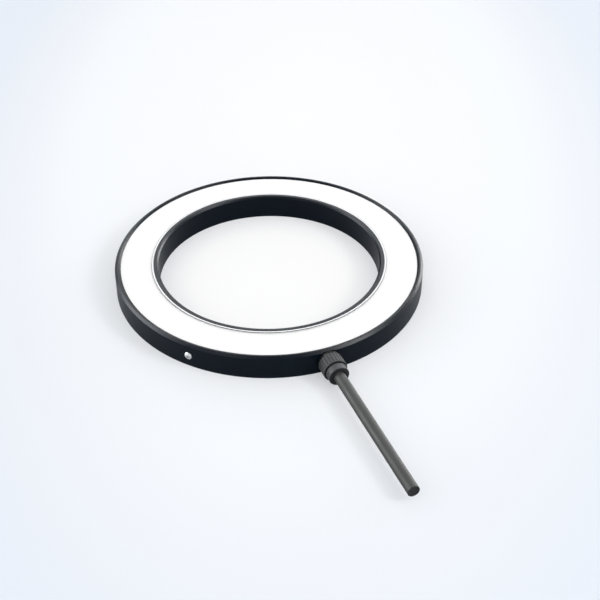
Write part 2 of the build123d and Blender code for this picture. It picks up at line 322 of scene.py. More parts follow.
# Housing: outer wall, floor and bore wall of the channel, with its holes
housingHigh = boxOf("housing")[1]
housing = {
    "outer": housingHigh.x,
    "top": housingHigh.z,
    "bore": mounts["central_bore"]["dims"]["r_mm"],
    "outerWall": 2.2,
    "innerWall": 1.9,
    "floor": 2.4,
    "ledgeWidth": 1.0,
    "rimChamfer": 0.9,
    "boreChamfer": 0.65,
    "baseChamfer": 0.2,
    "slantWidth": 0.7,
    "slantDepth": 0.6,
    "edgeRound": 0.09,
    "cornerRound": 0.05,
    "floorRound": 0.2,
    "columns": 360,
    "spotFace": {"radius": 4.7, "depth": 59.75, "columns": 96},
    "stemHole": {"radius": 3.02, "depth": 57.0, "columns": 64},
    "pocket": {"inner": 48.1, "outer": 56.0, "bottom": 0.8, "halfAngle": 9.5, "steps": 12},
    "threadPitch": 0.5,
    "threadDepth": 0.25,
    "holeMouth": 0.6,
    "holeColumns": 48,
    "holesFrom": 45.0,
}
sideScrew = {
    "count": 3,
    "fromCable": 50.1,
    "height": 4.75,
    "headRadius": 1.45,
    "seat": 59.4,
    "top": 60.7,
    "dome": 0.45,
    "tip": 56.4,
    "shankRadius": 0.8,
    "pitch": 0.35,
    "threadDepth": 0.18,
    "tipChamfer": 0.2,
    "columns": 64,
    "domeSteps": 8,
    "holeDepth": 4.0,
    "holeGap": 0.1,
    "holeChamfer": 0.12,
    "counterbore": 1.55,
    "edgeRound": 0.15,
    "seatRound": 0.05,
    "recessLength": 1.5,
    "recessWidth": 0.4,
    "recessDepth": 0.6,
    "recessTaper": 0.62,
    "recessTurn": 45.0,
    "recessAbove": 0.4,
}


def sideScrewPlaces():
    spacing = 360.0 / sideScrew["count"]
    first = cableAngle - sideScrew["fromCable"]
    angles = [first + k * spacing for k in range(sideScrew["count"])]
    return [facingOut(angle, sideScrew["height"] * mm) for angle in angles]


def housingOutline():
    outer, top, bore = housing["outer"], housing["top"], housing["bore"]
    base, edge = housing["baseChamfer"], housing["edgeRound"]
    corner, foot = housing["cornerRound"], housing["floorRound"]
    channelOuter = outer - housing["outerWall"]
    channelInner = bore + housing["innerWall"]
    ledge = channelInner + housing["ledgeWidth"]
    ledgeTop = boxOf("diffuser")[0].z
    return softCorners([
        (bore + base, 0, corner),
        (outer - base, 0, corner),
        (outer, base, corner),
        (outer, top - housing["rimChamfer"], edge),
        (outer - housing["rimChamfer"], top, edge),
        (channelOuter + housing["slantWidth"], top, edge),
        (channelOuter, top - housing["slantDepth"], corner),
        (channelOuter, housing["floor"], foot),
        (ledge, housing["floor"], foot),
        (ledge, ledgeTop, corner),
        (channelInner, ledgeTop, 0),
        (channelInner, top, edge),
        (bore + housing["boreChamfer"], top, edge),
        (bore, top - housing["boreChamfer"], edge),
        (bore, base, corner),
    ])


# Pocket of the terminal board in the channel's floor
def pocketCutter():
    pocket = housing["pocket"]
    form = bmesh.new()
    corners = []
    for k in range(pocket["steps"] + 1):
        angle = math.radians(cableAngle + pocket["halfAngle"] * (2 * k / pocket["steps"] - 1))
        for radius in (pocket["inner"], pocket["outer"]):
            for height in (pocket["bottom"], housing["floor"] + overrun):
                place = (radius * math.cos(angle), radius * math.sin(angle), height)
                corners.append(form.verts.new(place))
    for k in range(pocket["steps"]):
        a, b = corners[4 * k:4 * k + 4], corners[4 * k + 4:4 * k + 8]
        for i, j in ((0, 1), (1, 3), (3, 2), (2, 0)):
            form.faces.new((a[i], a[j], b[j], b[i]))
    form.faces.new([corners[i] for i in (0, 2, 3, 1)])
    form.faces.new([corners[i] for i in (-4, -3, -1, -2)])
    bmesh.ops.recalc_face_normals(form, faces=form.faces)
    return form


# Tapped hole up through the floor, with its chamfered mouth at the underside
def tappedHoleCutter(angle):
    dims = mounts["base_holes"]["dims"]
    depth, pitch, mouth = housing["threadDepth"], housing["threadPitch"], housing["holeMouth"]
    crest, top = dims["hole_r_mm"] + depth, housing["floor"] + mouth
    outline = [(0, -mouth), (crest + mouth, -mouth), (crest, 0.0)]
    outline += threadLine(crest, threads["lead"], top, pitch) + [(0, top)]
    shape = threadShape(crest, pitch, depth, threads["lead"] / 2, top + pitch)
    form = lathe(outline, evenColumns(housing["holeColumns"]), shape)
    aside = Matrix.Translation((dims["pcd_mm"] / 2, 0, 0))
    form.transform(Matrix.Rotation(math.radians(angle), 4, "Z") @ aside)
    return form


def inMillimetres(place):
    return Matrix.Scale(1 / mm, 4) @ place @ Matrix.Scale(mm, 4)


# Hole for a side screw, with the seat of its head and a small chamfer at the wall
def screwHoleCutter(place):
    wide, clear = sideScrew["counterbore"], sideScrew["shankRadius"] + sideScrew["holeGap"]
    bottom = housing["outer"] - sideScrew["holeDepth"]
    mouth = housing["outer"] - sideScrew["holeChamfer"]
    outline = [
        (0, bottom),
        (clear, bottom),
        (clear, sideScrew["seat"]),
        (wide, sideScrew["seat"]),
        (wide, mouth),
        (wide + overrun, mouth + overrun),
        (0, mouth + overrun),
    ]
    form = lathe(outline, evenColumns(sideScrew["columns"]))
    form.transform(inMillimetres(place))
    return form


def glandHoleCutter(hole):
    form = rod(hole["radius"], hole["depth"], housing["outer"] + 2 * overrun, hole["columns"])
    form.transform(inMillimetres(glandAxes))
    return form


def makeHousing():
    piece = makePiece("ringHousing", [lathe(housingOutline(), evenColumns(housing["columns"]))])
    cutAway(piece, [glandHoleCutter(housing["spotFace"])])
    cutters = [glandHoleCutter(housing["stemHole"]), pocketCutter()]
    cutters += [screwHoleCutter(place) for place in sideScrewPlaces()]
    holeCount = mounts["base_holes"]["dims"]["count"]
    for k in range(holeCount):
        cutters.append(tappedHoleCutter(housing["holesFrom"] + 360 / holeCount * k))
    cutAway(piece, cutters)
    return installPiece(piece, "ring_light", "black_anodised", "housing")


# Light face, the slim white ring that holds its inner lip, and a black band on the ring's outer edge,
# which is painted shade: a dark ring standing where the ring's outer wall falls in shade
lightFace = {
    "columns": 360,
    "lip": 1.0,
    "edgeRound": 0.12,
    "stepRound": 0.06,
    "gap": 0.05,
    "retainerWidth": 0.75,
    "retainerRound": 0.1,
    "retainerFoot": 0.05,
    # Size of the black band of painted shade on the white ring's outer edge
    "beadWidth": 0.1,
    "beadHeight": 0.24,
    "beadRound": 0.03,
}


def makeLightFace():
    low, high = boxOf("diffuser")
    retainerLow, retainerHigh = boxOf("diffuser_retainer")
    step = retainerHigh.x + lightFace["gap"]
    inner = retainerHigh.x - lightFace["retainerWidth"]
    edge, stepEdge, foot = lightFace["edgeRound"], lightFace["stepRound"], lightFace["retainerFoot"]
    columns = evenColumns(lightFace["columns"])
    plate = softCorners([
        (inner, low.z, edge),
        (high.x, low.z, edge),
        (high.x, high.z, edge),
        (step, high.z, stepEdge),
        (step, high.z - lightFace["lip"], 0),
        (inner, high.z - lightFace["lip"], stepEdge),
    ])
    piece = makePiece("lightDiffuser", [lathe(plate, columns)])
    installPiece(piece, "ring_light", "opal_acrylic", "diffuser")
    outer, top = retainerHigh.x, retainerHigh.z
    shadeBandInner, shoulder = outer - lightFace["beadWidth"], top - lightFace["beadHeight"]
    band = softCorners([
        (inner, retainerLow.z, foot),
        (outer, retainerLow.z, foot),
        (outer, shoulder, 0),
        (shadeBandInner, shoulder, 0),
        (shadeBandInner, top, 0),
        (inner, top, lightFace["retainerRound"]),
    ])
    # Painted shade: a black ring in the white ring's upper outer corner, where its outer wall is in
    # shade
    shadeBand = softCorners([
        (shadeBandInner, shoulder, 0),
        (outer, shoulder, 0),
        (outer, top, lightFace["beadRound"]),
        (shadeBandInner, top, 0),
    ])
    pieces = [piece]
    rings = [("diffuserRing", "white_acetal", band), ("ringBead", "black_rubber", shadeBand)]
    for name, slot, outline in rings:
        ring = makePiece(name, [lathe(outline, columns)])
        pieces.append(installPiece(ring, "ring_light", slot, "diffuser_retainer"))
    return pieces


# Tapered cross of the screw's recess, cut down from the head's top
def recessCutter():
    long, wide = sideScrew["recessLength"] / 2, sideScrew["recessWidth"] / 2
    cross = [(long, -wide), (long, wide), (wide, wide)]
    outline = []
    for k in range(4):
        turn = Matrix.Rotation(math.pi / 2 * k, 2)
        outline += [turn @ Vector(corner) for corner in cross]
    top = sideScrew["top"] + sideScrew["recessAbove"]
    bottom = sideScrew["top"] - sideScrew["recessDepth"]
    taper = sideScrew["recessTaper"]
    form = bmesh.new()
    upper = [form.verts.new((x, y, top)) for x, y in outline]
    lower = [form.verts.new((x * taper, y * taper, bottom)) for x, y in outline]
    for k in range(len(outline)):
        j = (k + 1) % len(outline)
        form.faces.new((lower[k], lower[j], upper[j], upper[k]))
    form.faces.new(upper)
    form.faces.new(lower)
    bmesh.ops.recalc_face_normals(form, faces=form.faces)
    return form


# Pan-head screws, seated in the wall with rather more than half of the head showing
def makeSideScrews():
    head, dome, top = sideScrew["headRadius"], sideScrew["dome"], sideScrew["top"]
    shank, seat, tip = sideScrew["shankRadius"], sideScrew["seat"], sideScrew["tip"]
    chamfer, pitch, steps = sideScrew["tipChamfer"], sideScrew["pitch"], sideScrew["domeSteps"]
    domeRadius = (head ** 2 + dome ** 2) / (2 * dome)
    crown = []
    for k in range(steps + 1):
        reach = (head - sideScrew["edgeRound"]) * (1 - k / steps)
        crown.append((reach, top - domeRadius + math.sqrt(domeRadius ** 2 - reach ** 2)))
    rim = softCorners([
        (head, seat, sideScrew["seatRound"]),
        (head, top - dome, sideScrew["edgeRound"]),
        crown[0] + (0,),
        (shank, seat, 0),
    ])[:-2]
    outline = [(0, tip), (shank - chamfer, tip), (shank, tip + chamfer)]
    outline += threadLine(shank, tip + chamfer + threads["lead"], seat, pitch) + rim + crown
    shape = threadShape(shank, pitch, sideScrew["threadDepth"], tip + chamfer, seat)
    turned = Matrix.Rotation(math.radians(sideScrew["recessTurn"]), 4, "Z")
    screws = []
    for k, place in enumerate(sideScrewPlaces()):
        name = "sideScrew." + str(k + 1)
        form = lathe(outline, evenColumns(sideScrew["columns"]), shape)
        screw = makePiece(name, [form], place @ turned)
        cutAway(screw, [recessCutter()])
        screws.append(installPiece(screw, "ring_light", "stainless_steel", "side_screws"))
    return screws


ringHousing = makeHousing()
lightDiffuser, diffuserRing, ringBead = makeLightFace()
sideScrews = makeSideScrews()
print("ring made:", len(ringHousing.data.polygons), "faces in the housing")

# Cable gland, drawn along its own axis: heights are distances from the ring's axis
gland = {
    "sharpAngle": 28,
    "columns": 120,
    "gasket": {"bore": 3.02, "radius": 4.22, "start": 59.75, "end": 60.25, "columns": 96},
    "gasketRound": {"bore": 0.05, "rim": 0.1},
    "flange": {"start": 60.25, "end": 61.0, "flats": 7.8, "faceRadius": 4.0, "drop": 0.22},
    "cornerSpare": 0.01,
    "stem": {"bore": 2.25, "radius": 3.0, "start": 57.95, "chamfer": 0.15},
    "thread": {"crest": 3.69, "start": 61.425, "end": 65.175, "pitch": 0.75, "depth": 0.3},
    "threadClear": 0.05,
    "threadSteps": 14,
    "socket": {"radius": 2.94, "start": 62.3, "chamfer": 0.05},
    "bodyEnd": 65.6,
    "endChamfer": 0.2,
}
nut = {
    "start": 61.1,
    "ribEnd": 66.15,
    "ribRadius": 4.59,
    "ribCount": 24,
    "grooveRadius": 0.26,
    "grooveSteps": 8,
    "ribSteps": 3,
    "grooveEdge": 80.0,
    "ribEndRound": 0.3,
    "neckRadius": 3.59,
    "neckEnd": 66.45,
    "noseRadius": 3.89,
    "noseEnd": 69.45,
    "noseRound": 0.3,
    "noseBore": 2.35,
    "threadBore": 3.74,
    "cavity": 3.12,
    "cavityStart": 65.8,
    "shoulder": 67.0,
    "ribEdge": 0.05,
    "neckRound": 0.05,
    "noseBackRound": 0.08,
    "noseBoreRound": 0.1,
    "threadMouth": 0.12,
    "threadShare": 0.8,
}


def makeGasket():
    gasket, rounds = gland["gasket"], gland["gasketRound"]
    ring = softCorners([
        (gasket["bore"], gasket["start"], rounds["bore"]),
        (gasket["radius"], gasket["start"], rounds["rim"]),
        (gasket["radius"], gasket["end"], rounds["rim"]),
        (gasket["bore"], gasket["end"], rounds["bore"]),
    ])
    piece = makePiece("glandGasket", [lathe(ring, evenColumns(gasket["columns"]))], glandAxes)
    return installPiece(piece, "ring_light", "black_rubber", "gland_gasket")


# Hexagon flange, plain stem into the wall, and the nut's thread outwards
def makeGlandBody():
    stem, flange, thread, socket = gland["stem"], gland["flange"], gland["thread"], gland["socket"]
    crest, pitch, clear = thread["crest"], thread["pitch"], gland["threadClear"]
    end, chamfer = gland["bodyEnd"], gland["endChamfer"]
    halfFlats = flange["flats"] / 2
    corner = halfFlats / math.cos(math.radians(30)) + gland["cornerSpare"]
    threaded = threadShape(crest, pitch, thread["depth"], thread["start"], thread["end"])

    def shape(radius, height, angle):
        if flange["start"] <= height <= flange["end"]:
            sixth = (angle % math.radians(60)) - math.radians(30)
            return min(radius, halfFlats / math.cos(sixth))
        return threaded(radius, height, angle)

    outline = [
        (stem["bore"], stem["start"]),
        (stem["radius"] - stem["chamfer"], stem["start"]),
        (stem["radius"], stem["start"] + stem["chamfer"]),
        (stem["radius"], flange["start"]),
        (flange["faceRadius"], flange["start"]),
        (corner, flange["start"] + flange["drop"]),
        (corner, flange["end"] - flange["drop"]),
        (flange["faceRadius"], flange["end"]),
        (crest, flange["end"]),
    ]
    threadFoot, threadTip = flange["end"] + clear, end - chamfer - clear
    outline += threadLine(crest, threadFoot, threadTip, pitch, gland["threadSteps"])
    outline += [
        (crest - chamfer, end),
        (socket["radius"] + socket["chamfer"], end),
        (socket["radius"], end - socket["chamfer"]),
        (socket["radius"], socket["start"]),
        (stem["bore"], socket["start"]),
    ]
    form = lathe(outline, evenColumns(gland["columns"]), shape)
    piece = makePiece("glandBody", [form], glandAxes, gland["sharpAngle"])
    return installPiece(piece, "ring_light", "black_nylon", "gland_body")


# Columns of the nut: over each rib, then round the groove that follows it
def ribColumns():
    columns = []
    radius, groove = nut["ribRadius"], nut["grooveRadius"]
    pitch = 2 * math.pi / nut["ribCount"]
    edge = math.radians(nut["grooveEdge"])
    halfGroove = math.asin(groove / radius) + nut["ribEdge"] / radius
    for k in range(nut["ribCount"]):
        for step in range(nut["ribSteps"] + 1):
            share = step / nut["ribSteps"] * 2 - 1
            columns.append((k * pitch + share * (pitch / 2 - halfGroove), math.inf))
        for step in range(nut["grooveSteps"] + 1):
            turn = edge * (step / nut["grooveSteps"] * 2 - 1)
            across, deep = groove * math.sin(turn), radius - groove * math.cos(turn)
            columns.append(((k + 0.5) * pitch + math.atan2(across, deep), math.hypot(across, deep)))
    return columns


def makeNut():
    rib, ribEnd, neck = nut["ribRadius"], nut["ribEnd"], nut["neckRadius"]
    nose, noseEnd, bore = nut["noseRadius"], nut["noseEnd"], nut["threadBore"]
    mouth, cavityStart = nut["start"] + nut["threadMouth"], nut["cavityStart"]
    pitch, depth = gland["thread"]["pitch"], gland["thread"]["depth"] * nut["threadShare"]
    outside = softCorners([
        (bore + nut["threadMouth"], nut["start"], 0),
        (rib, nut["start"], nut["ribEndRound"] / 2),
        (rib, ribEnd, nut["ribEndRound"]),
        (neck, ribEnd, nut["neckRound"]),
        (neck, nut["neckEnd"], nut["neckRound"]),
        (nose, nut["neckEnd"], nut["noseBackRound"]),
        (nose, noseEnd, nut["noseRound"]),
        (nut["noseBore"], noseEnd, nut["noseBoreRound"]),
        (nut["noseBore"], nut["shoulder"], 0),
        (nut["cavity"], nut["shoulder"], 0),
        (nut["cavity"], cavityStart, 0),
        (bore, cavityStart, 0),
    ])
    inside = threadLine(bore, cavityStart - gland["threadClear"], mouth, pitch)
    grooved = threadShape(bore, pitch, -depth, mouth, cavityStart)
    form = lathe(outside + inside, ribColumns(), grooved)
    piece = makePiece("glandNut", [form], glandAxes, gland["sharpAngle"])
    return installPiece(piece, "compression_nut", "grey_nylon", "gland_nut")


glandGasket = makeGasket()
glandBody = makeGlandBody()
glandNut = makeNut()
print("gland made:", len(glandNut.data.polygons), "faces in the nut")


# Nodes are added with their socket values; a value that is a socket is linked
def addNode(tree, kind, values=(), **settings):
    made = tree.nodes.new("ShaderNode" + kind)
    for setting, value in settings.items():
        setattr(made, setting, value)
    for socket, value in dict(values).items():
        if isinstance(value, bpy.types.NodeSocket):
            tree.links.new(value, made.inputs[socket])
        else:
            made.inputs[socket].default_value = value
    return made


def calc(tree, operation, first, second=0.0):
    return addNode(tree, "Math", {0: first, 1: second}, operation=operation).outputs[0]


def mixColour(tree, share, first, second):
    mixed = addNode(tree, "Mix", {0: share, 6: first, 7: second}, data_type="RGBA")
    return mixed.outputs[2]


def stretch(tree, value, low, high, newLow=0.0, newHigh=1.0):
    values = {"Value": value, "From Min": low, "From Max": high, "To Min": newLow, "To Max": newHigh}
    return addNode(tree, "MapRange", values).outputs["Result"]


def objectPlace(tree):
    return addNode(tree, "TexCoord").outputs["Object"]


def noiseAt(tree, place, scale, detail):
    values = {"Vector": place, "Scale": scale, "Detail": detail}
    return addNode(tree, "TexNoise", values).outputs[0]


def newGroup(name, inputs, outputs):
    tree = bpy.data.node_groups.new(name, "ShaderNodeTree")
    for label, value in inputs.items():
        socket = tree.interface.new_socket(label, in_out="INPUT", socket_type="NodeSocketFloat")
        socket.default_value = value
    for label in outputs:
        tree.interface.new_socket(label, in_out="OUTPUT", socket_type="NodeSocketFloat")
    return tree, tree.nodes.new("NodeGroupInput").outputs, tree.nodes.new("NodeGroupOutput").inputs


broadScale = 0.02  # of the fine grain's, for the slow change of tone
# Where each mask begins and ends, in the measure that it is made from
masks = {
    "noise": (0.35, 0.65),
    "broadNoise": (0.3, 0.7),
    "wornBend": (0.995, 0.90),
    "wornShare": (0.25, 1.0),
    "upward": (0.4, 1.0),
    "speck": (0.16, 0.05),
    "openness": (0.85, 0.45),
}


# Fine even grain, as blasting or a mould leaves it: a height for bump and a slow tone
def makeGrainGroup():
    tree, given, out = newGroup("fineGrain", {"Scale": 6000.0}, ["Height", "Tone"])
    place = objectPlace(tree)
    grain = {"Vector": place, "Scale": given["Scale"], "Detail": 2.0, "Roughness": 0.6}
    fine = addNode(tree, "TexNoise", grain)
    slow = calc(tree, "MULTIPLY", given["Scale"], broadScale)
    broad = noiseAt(tree, place, slow, 3.0)
    tree.links.new(fine.outputs[0], out["Height"])
    tree.links.new(stretch(tree, broad, *masks["broadNoise"]), out["Tone"])
    return tree


# Worn edges: where a rounded normal leaves the flat one, broken up by noise
def makeWearGroup():
    tree, given, out = newGroup("wornEdges", {"Width": 0.0002, "Scale": 900.0}, ["Mask"])
    rounded = addNode(tree, "Bevel", {"Radius": given["Width"]}, samples=6)
    flat = addNode(tree, "NewGeometry").outputs["Normal"]
    dot = addNode(tree, "VectorMath", {0: rounded.outputs[0], 1: flat}, operation="DOT_PRODUCT")
    edge = stretch(tree, dot.outputs["Value"], *masks["wornBend"])
    noise = noiseAt(tree, objectPlace(tree), given["Scale"], 3.0)
    broken = stretch(tree, noise, *masks["noise"], *masks["wornShare"])
    tree.links.new(calc(tree, "MULTIPLY", edge, broken), out["Mask"])
    return tree


# Handling: slow smudges between two roughness values
def makeHandlingGroup():
    inputs = {"Scale": 60.0, "Smooth": 0.4, "Rough": 0.5}
    tree, given, out = newGroup("handledGloss", inputs, ["Roughness"])
    noise = noiseAt(tree, objectPlace(tree), given["Scale"], 4.0)
    value = stretch(tree, noise, *masks["noise"], given["Smooth"], given["Rough"])
    tree.links.new(value, out["Roughness"])
    return tree


# Sparse specks of dust on what faces up
def makeDustGroup():
    tree, given, out = newGroup("settledDust", {"Amount": 0.2, "Scale": 1500.0}, ["Mask"])
    normal = addNode(tree, "SeparateXYZ", {0: addNode(tree, "NewGeometry").outputs["Normal"]})
    upward = stretch(tree, normal.outputs["Z"], *masks["upward"])
    specks = addNode(tree, "TexVoronoi", {"Vector": objectPlace(tree), "Scale": given["Scale"]})
    near = stretch(tree, specks.outputs["Distance"], *masks["speck"])
    dusty = calc(tree, "MULTIPLY", calc(tree, "MULTIPLY", upward, near), given["Amount"])
    tree.links.new(dusty, out["Mask"])
    return tree


# Tool marks that run round the piece's own Z axis
def makeTurnedGroup():
    tree, given, out = newGroup("turnedMarks", {"Scale": 9000.0}, ["Height"])
    split = addNode(tree, "SeparateXYZ", {0: objectPlace(tree)})
    squares = [calc(tree, "MULTIPLY", split.outputs[k], split.outputs[k]) for k in (0, 1)]
    reach = calc(tree, "SQRT", calc(tree, "ADD", *squares))
    along = addNode(tree, "CombineXYZ", {0: reach, 1: split.outputs[2]})
    tree.links.new(noiseAt(tree, along.outputs[0], given["Scale"], 2.0), out["Height"])
    return tree


# Painted shade in the piece's own grooves and corners: colour darkened where ambient occlusion finds
# them closed in
def makeRecessGroup():
    tree, given, out = newGroup("shadedRecess", {"Reach": 0.0005}, ["Mask"])
    around = addNode(tree, "AmbientOcclusion", {"Distance": given["Reach"]}, samples=8, only_local=True)
    tree.links.new(stretch(tree, around.outputs["AO"], *masks["openness"]), out["Mask"])
    return tree


# Draw lines of an extruded sheath: long along Y, narrow across
def makeDrawnGroup():
    tree, given, out = newGroup("drawnLines", {"Scale": 2500.0, "Length": 30.0}, ["Height"])
    split = addNode(tree, "SeparateXYZ", {0: objectPlace(tree)})
    across = [calc(tree, "MULTIPLY", split.outputs[k], given["Scale"]) for k in (0, 2)]
    along = calc(tree, "MULTIPLY", split.outputs[1], given["Length"])
    place = addNode(tree, "CombineXYZ", {0: across[0], 1: along, 2: across[1]})
    tree.links.new(noiseAt(tree, place.outputs[0], 1.0, 2.0), out["Height"])
    return tree


# Painted shade on faces that look along the piece's own Z axis, which turn away from the lamps
def makeEndShadeGroup():
    tree, given, out = newGroup("endFaces", {"From": 0.6, "To": 0.9}, ["Mask"])
    split = addNode(tree, "SeparateXYZ", {0: addNode(tree, "TexCoord").outputs["Normal"]})
    tree.links.new(stretch(tree, split.outputs[2], given["From"], given["To"]), out["Mask"])
    return tree


groups = {
    "grain": makeGrainGroup(),
    "ends": makeEndShadeGroup(),
    "wear": makeWearGroup(),
    "handling": makeHandlingGroup(),
    "dust": makeDustGroup(),
    "turned": makeTurnedGroup(),
    "drawn": makeDrawnGroup(),
    "recess": makeRecessGroup(),
}


def useGroup(tree, name, values):
    made = tree.nodes.new("ShaderNodeGroup")
    made.node_tree = groups[name]
    for socket, value in values.items():
        made.inputs[socket].default_value = value
    return made.outputs


# What the finishes share: dust, the relief's depth in metres, and the grain left under tool marks
allFinishes = {"dust": (0.45, 0.44, 0.42), "reliefDepth": 0.00002, "grainUnderMarks": 0.4}


# Builds a finish from one dictionary: two tones, the colours of worn edges, painted shade on end faces
# and in recesses, and dust, then gloss and relief
def makeFinish(name, finish):
    material = bpy.data.materials.new(name)
    material.use_nodes = True
    tree = material.node_tree
    shader = tree.nodes["Principled BSDF"]
    for socket, value in finish.get("shader", {}).items():
        shader.inputs[socket].default_value = value
    grain = useGroup(tree, "grain", {"Scale": finish["grainScale"]})
    dark, light = [(*tone, 1) for tone in finish["tones"]]
    colour = mixColour(tree, grain["Tone"], dark, light)
    if "worn" in finish:
        wear = useGroup(tree, "wear", finish["wear"])
        colour = mixColour(tree, wear["Mask"], colour, (*finish["worn"], 1))
    # Painted shade: faces looking out along the piece's axis take a darker colour
    if "endTone" in finish:
        ends = useGroup(tree, "ends", {})
        colour = mixColour(tree, ends["Mask"], colour, (*finish["endTone"], 1))
    # Painted shade: recesses take the darker colour where ambient occlusion finds them closed in
    if "recess" in finish:
        recess = useGroup(tree, "recess", {"Reach": finish["recess"]})
        colour = mixColour(tree, recess["Mask"], colour, (*finish["shaded"], 1))
    if "dust" in finish:
        dust = useGroup(tree, "dust", finish["dust"])
        colour = mixColour(tree, dust["Mask"], colour, (*allFinishes["dust"], 1))
    gloss = useGroup(tree, "handling", finish["handling"])
    height = grain["Height"]
    for other in ("turned", "drawn"):
        if other in finish:
            marks = useGroup(tree, other, finish[other])
            grainLeft = calc(tree, "MULTIPLY", height, allFinishes["grainUnderMarks"])
            height = calc(tree, "ADD", grainLeft, marks["Height"])
    bump = {"Height": height, "Strength": finish["relief"], "Distance": allFinishes["reliefDepth"]}
    relief = addNode(tree, "Bump", bump)
    tree.links.new(colour, shader.inputs["Base Color"])
    tree.links.new(gloss["Roughness"], shader.inputs["Roughness"])
    tree.links.new(relief.outputs["Normal"], shader.inputs["Normal"])
    return material


def blackAnodised():
    return makeFinish("blackAnodised", {
        "tones": [(0.0012, 0.0042, 0.0090), (0.0020, 0.0058, 0.0115)],
        "worn": (0.022, 0.024, 0.027),
        "wear": {"Width": 0.0001, "Scale": 700.0},
        "dust": {"Amount": 0.02, "Scale": 900.0},
        "handling": {"Scale": 45.0, "Smooth": 0.37, "Rough": 0.41},
        "grainScale": 9000.0,
        "relief": 0.25,
        "shader": {"Specular IOR Level": 0.068},
    })


def opalAcrylic():
    return makeFinish("opalAcrylic", {
        "tones": [(0.91, 0.91, 0.91), (0.93, 0.93, 0.93)],
        "handling": {"Scale": 60.0, "Smooth": 0.42, "Rough": 0.5},
        "grainScale": 3000.0,
        "relief": 0.1,
        "shader": {"Specular IOR Level": 0.1},
    })


def whiteAcetal():
    return makeFinish("whiteAcetal", {
        "tones": [(0.80, 0.81, 0.83), (0.83, 0.84, 0.86)],
        "handling": {"Scale": 80.0, "Smooth": 0.35, "Rough": 0.45},
        "turned": {"Scale": 8000.0},
        "grainScale": 3000.0,
        "relief": 0.3,
        "shader": {"Specular IOR Level": 0.2},
    })


def stainlessSteel():
    return makeFinish("stainlessSteel", {
        "tones": [(0.48, 0.49, 0.51), (0.54, 0.55, 0.57)],
        "worn": (0.62, 0.63, 0.65),
        "wear": {"Width": 0.00008, "Scale": 2000.0},
        "handling": {"Scale": 900.0, "Smooth": 0.36, "Rough": 0.46},
        "turned": {"Scale": 15000.0},
        "grainScale": 9000.0,
        "relief": 0.3,
        "shader": {"Metallic": 1.0},
    })


def greyNylon():
    return makeFinish("greyNylon", {
        "tones": [(0.060, 0.066, 0.072), (0.070, 0.076, 0.083)],
        "worn": (0.12, 0.125, 0.13),
        "wear": {"Width": 0.0001, "Scale": 1500.0},
        # Painted shade on the faces that look out along the cable
        "endTone": (0.018, 0.020, 0.021),
        # Painted shade in the ribs' grooves and the neck, darkened to this colour
        "recess": 0.0012,
        "shaded": (0.004, 0.004, 0.005),
        "dust": {"Amount": 0.05, "Scale": 1500.0},
        "handling": {"Scale": 250.0, "Smooth": 0.54, "Rough": 0.62},
        "grainScale": 7000.0,
        "relief": 0.3,
        "shader": {"Specular IOR Level": 0.1},
    })


def blackNylon():
    return makeFinish("blackNylon", {
        "tones": [(0.007, 0.007, 0.008), (0.010, 0.010, 0.011)],
        "worn": (0.03, 0.03, 0.032),
        "wear": {"Width": 0.0001, "Scale": 1500.0},
        "handling": {"Scale": 250.0, "Smooth": 0.4, "Rough": 0.5},
        "grainScale": 7000.0,
        "relief": 0.3,
        "shader": {"Specular IOR Level": 0.2},
    })


def blackRubber():
    return makeFinish("blackRubber", {
        "tones": [(0.006, 0.006, 0.006), (0.010, 0.010, 0.010)],
        "handling": {"Scale": 300.0, "Smooth": 0.6, "Rough": 0.75},
        "grainScale": 8000.0,
        "relief": 0.4,
        "shader": {"Specular IOR Level": 0.2},
    })


def cableSheathing():
    return makeFinish("cableSheathing", {
        "tones": [(0.050, 0.052, 0.051), (0.058, 0.060, 0.059)],
        "dust": {"Amount": 0.05, "Scale": 1500.0},
        "handling": {"Scale": 120.0, "Smooth": 0.52, "Rough": 0.6},
        "drawn": {"Scale": 2500.0, "Length": 25.0},
        "grainScale": 5000.0,
        "relief": 0.25,
        "shader": {"Specular IOR Level": 0.1},
    })


# The freshly cut face of the cable: darker than its skin, partly its own colour and partly painted
# shade of a face turned from the lamps, with torn filler
def cutSheathing():
    return makeFinish("cutSheathing", {
        "tones": [(0.012, 0.013, 0.013), (0.030, 0.031, 0.031)],
        "handling": {"Scale": 900.0, "Smooth": 0.6, "Rough": 0.75},
        "grainScale": 9000.0,
        "relief": 0.6,
        "shader": {"Specular IOR Level": 0.12},
    })


def bareAluminium():
    return makeFinish("bareAluminium", {
        "tones": [(0.68, 0.69, 0.70), (0.74, 0.75, 0.76)],
        "handling": {"Scale": 80.0, "Smooth": 0.28, "Rough": 0.4},
        "turned": {"Scale": 7000.0},
        "grainScale": 6000.0,
        "relief": 0.4,
        "shader": {"Metallic": 1.0},
    })


def thermalTape():
    return makeFinish("thermalTape", {
        "tones": [(0.34, 0.35, 0.38), (0.40, 0.41, 0.44)],
        "handling": {"Scale": 200.0, "Smooth": 0.6, "Rough": 0.7},
        "grainScale": 4000.0,
        "relief": 0.4,
    })


def whiteMask():
    return makeFinish("whiteMask", {
        "tones": [(0.80, 0.80, 0.77), (0.84, 0.84, 0.81)],
        "handling": {"Scale": 200.0, "Smooth": 0.4, "Rough": 0.5},
        "grainScale": 3000.0,
        "relief": 0.2,
    })


def ledPackage():
    return makeFinish("ledPackage", {
        "tones": [(0.82, 0.82, 0.79), (0.86, 0.86, 0.83)],
        "handling": {"Scale": 600.0, "Smooth": 0.3, "Rough": 0.4},
        "grainScale": 9000.0,
        "relief": 0.15,
    })


def phosphor():
    return makeFinish("phosphor", {
        "tones": [(0.70, 0.52, 0.08), (0.80, 0.62, 0.12)],
        "handling": {"Scale": 900.0, "Smooth": 0.2, "Rough": 0.3},
        "grainScale": 12000.0,
        "relief": 0.15,
    })


